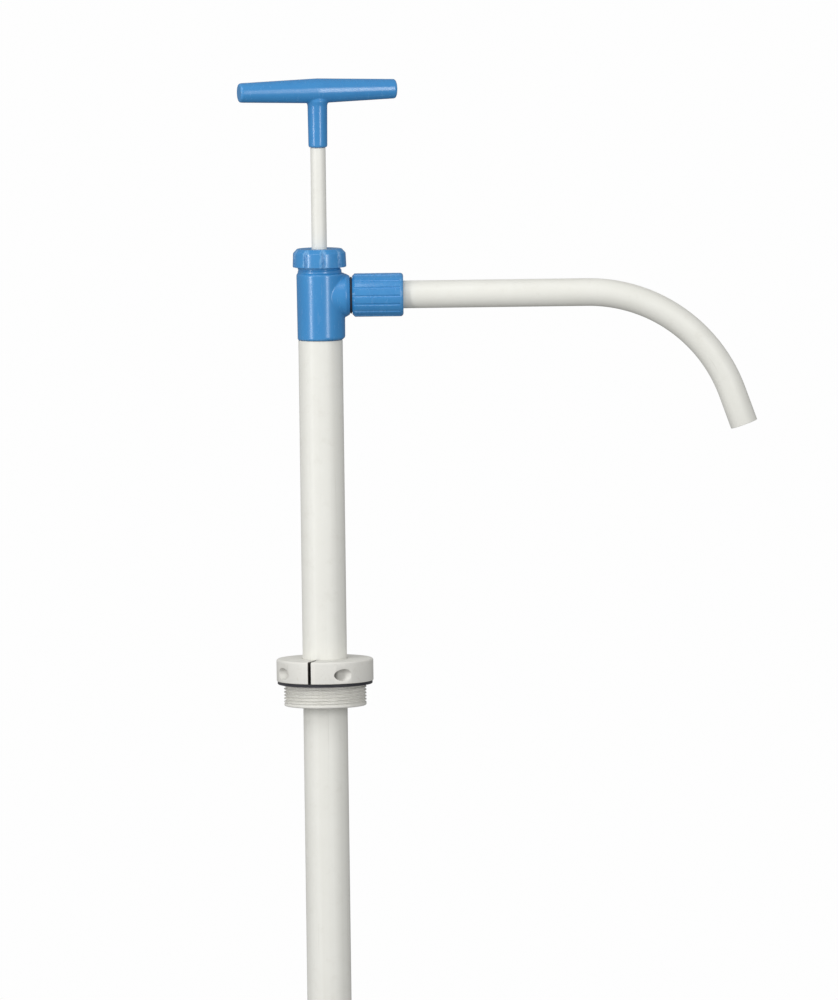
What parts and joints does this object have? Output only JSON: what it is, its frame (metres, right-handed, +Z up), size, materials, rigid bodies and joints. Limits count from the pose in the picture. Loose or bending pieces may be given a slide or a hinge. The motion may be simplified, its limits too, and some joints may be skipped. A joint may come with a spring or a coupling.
{
  "type": "lift-action drum pump",
  "caption": "Lift-action hand pump for drums: T-handle on a rod, gland cap, head tee with union nut and bent spout, immersion tube with valves, and a split collar with a bung thread.",
  "frame": {"origin": "on the immersion tube's axis, at the underside of the drum collar's flange", "axes": "+Z up along the immersion tube and the rod; +X along the straight part of the spout, away from the tube"},
  "size_m": [0.3723, 0.07, 1.1367],
  "materials": {
    "blue_plastic": "satin moulded polypropylene, mid blue",
    "cream_plastic": "satin extruded and moulded polypropylene, off-white",
    "white_plastic": "fine moulded plastic, white",
    "black_rubber": "moulded elastomer, black",
    "stainless_steel": "turned stainless steel"
  },
  "bodies": {
    "drum_collar": {"drum_collar": "cream_plastic", "collar_gasket": "black_rubber", "clamp_nut": "stainless_steel", "clamp_washer": "stainless_steel"},
    "clamp_screw": {"clamp_screw": "stainless_steel"},
    "pump_tube": {"immersion_tube": "cream_plastic", "pump_head": "blue_plastic", "tube_seal_ring": "black_rubber", "rod_guide_bush": "white_plastic", "lower_rod_seal": "black_rubber", "upper_rod_seal": "black_rubber", "thread_root_ring": "black_rubber", "spout_seal": "black_rubber", "foot_valve_seat": "cream_plastic", "foot_stop_pin": "stainless_steel", "foot_strainer": "cream_plastic"},
    "gland_follower": {"gland_follower": "white_plastic"},
    "gland_cap": {"gland_cap": "blue_plastic"},
    "grip_ring": {"grip_ring": "white_plastic"},
    "union_nut": {"union_nut": "blue_plastic"},
    "spout": {"spout": "cream_plastic"},
    "piston_seal": {"piston_seal": "black_rubber"},
    "rod_and_handle": {"piston_rod": "cream_plastic", "t_handle": "blue_plastic", "piston_cage": "white_plastic", "piston_seat": "white_plastic"},
    "piston_ball": {"piston_ball": "white_plastic"},
    "foot_ball": {"foot_ball": "white_plastic"}
  },
  "joints": [
    {"name": "tube_height", "type": "slide", "parent": "drum_collar", "child": "pump_tube", "axis": [0, 0, 1], "range_m": [-0.23, 0.45]},
    {"name": "piston_stroke", "type": "slide", "parent": "pump_tube", "child": "piston_seal", "axis": [0, 0, 1], "range_m": [-0.072, 0.355]},
    {"name": "handle_turn", "type": "hinge", "parent": "piston_seal", "child": "rod_and_handle", "pos_m": [0, 0, 0.4267], "axis": [0, 0, 1], "continuous": true},
    {"name": "piston_ball_lift", "type": "slide", "parent": "rod_and_handle", "child": "piston_ball", "axis": [0, 0, 1], "range_m": [0, 0.006]},
    {"name": "foot_ball_lift", "type": "slide", "parent": "pump_tube", "child": "foot_ball", "axis": [0, 0, 1], "range_m": [0, 0.006]},
    {"name": "gland_lift", "type": "slide", "parent": "pump_tube", "child": "gland_follower", "axis": [0, 0, 1], "range_m": [0, 0.00901]},
    {"name": "gland_cap_turn", "type": "hinge", "parent": "gland_follower", "child": "gland_cap", "pos_m": [0, 0, 0.3066], "axis": [0, 0, 1], "range_deg": [0, 1080]},
    {"name": "nut_travel", "type": "slide", "parent": "pump_tube", "child": "grip_ring", "axis": [1, 0, 0], "range_m": [0, 0.01201]},
    {"name": "union_nut_turn", "type": "hinge", "parent": "grip_ring", "child": "union_nut", "pos_m": [0.042, 0, 0.2788], "axis": [1, 0, 0], "range_deg": [0, 1440]},
    {"name": "spout_swivel", "type": "hinge", "parent": "pump_tube", "child": "spout", "pos_m": [0.045, 0, 0.2788], "axis": [1, 0, 0], "continuous": true},
    {"name": "clamp_screw_turn", "type": "hinge", "parent": "drum_collar", "child": "clamp_screw", "pos_m": [-0.00829, -0.02464, 0.0064], "axis": [0.9478, -0.319, 0], "range_deg": [0, 1080]}
  ],
  "couplings": [
    {"joint": "gland_lift", "follows": "gland_cap_turn", "m_per_rad": 0.00047746},
    {"joint": "nut_travel", "follows": "union_nut_turn", "m_per_rad": 0.00047746}
  ]
}
